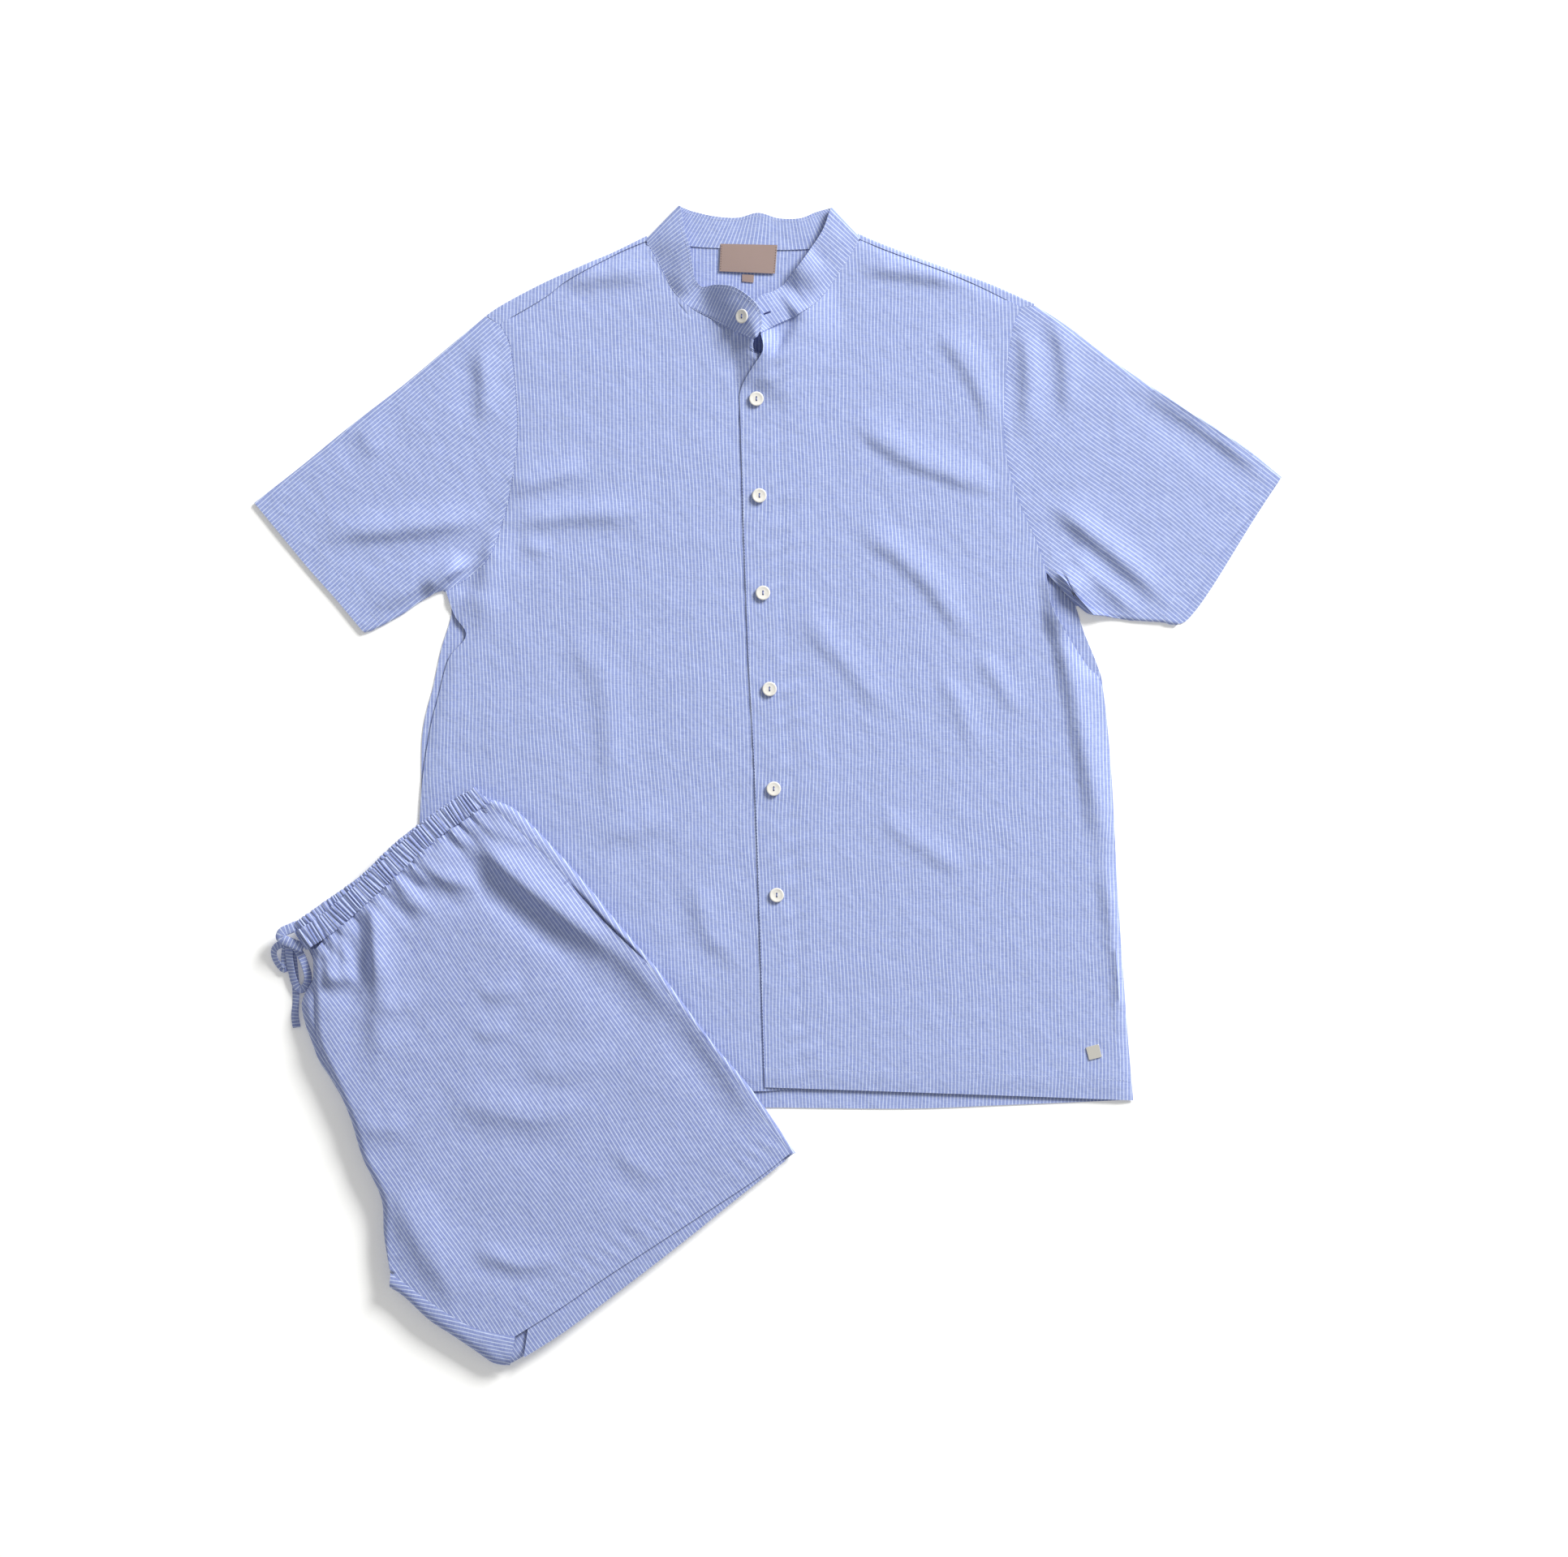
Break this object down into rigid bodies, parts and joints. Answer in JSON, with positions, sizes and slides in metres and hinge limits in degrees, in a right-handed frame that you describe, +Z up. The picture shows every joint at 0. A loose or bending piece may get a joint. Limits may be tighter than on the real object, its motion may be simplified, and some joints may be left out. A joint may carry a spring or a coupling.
{
  "type": "laid-flat band-collar shirt and drawstring shorts set",
  "caption": "Short-sleeved band-collar shirt and elastic-waist drawstring shorts in striped woven cotton, laid flat one partly on the other.",
  "frame": {"origin": "on the table, under the middle of the set's outline", "axes": "+Z up off the table, +Y up the shirt towards the collar, +X towards the wearer's left sleeve"},
  "size_m": [0.8613, 0.9704, 0.0224],
  "materials": {
    "striped_cotton": "matt plain-weave cotton with fine vertical stripes",
    "satin_label": "satin weave, left bare",
    "pearl_button": "polished shell",
    "metal_plate": "satin metal, left bare"
  },
  "bodies": {
    "root": {"shirt_back": "striped_cotton", "shirt_right_front": "striped_cotton", "shirt_left_front": "striped_cotton", "shirt_right_sleeve": "striped_cotton", "shirt_left_sleeve": "striped_cotton", "shirt_collar": "striped_cotton", "shorts_near_leg_front": "striped_cotton", "shorts_near_leg_back": "striped_cotton", "shorts_near_leg_inseam": "striped_cotton", "shorts_far_leg": "striped_cotton", "waistband_front": "striped_cotton", "waistband_back": "striped_cotton", "drawstring_knot": "striped_cotton", "drawstring_left_loop": "striped_cotton", "drawstring_right_loop": "striped_cotton", "drawstring_tail": "striped_cotton", "neck_label": "satin_label", "size_tab": "satin_label", "button_1": "pearl_button", "button_2": "pearl_button", "button_3": "pearl_button", "button_4": "pearl_button", "button_5": "pearl_button", "button_6": "pearl_button", "button_7": "pearl_button", "metal_plate": "metal_plate"}
  },
  "joints": []
}
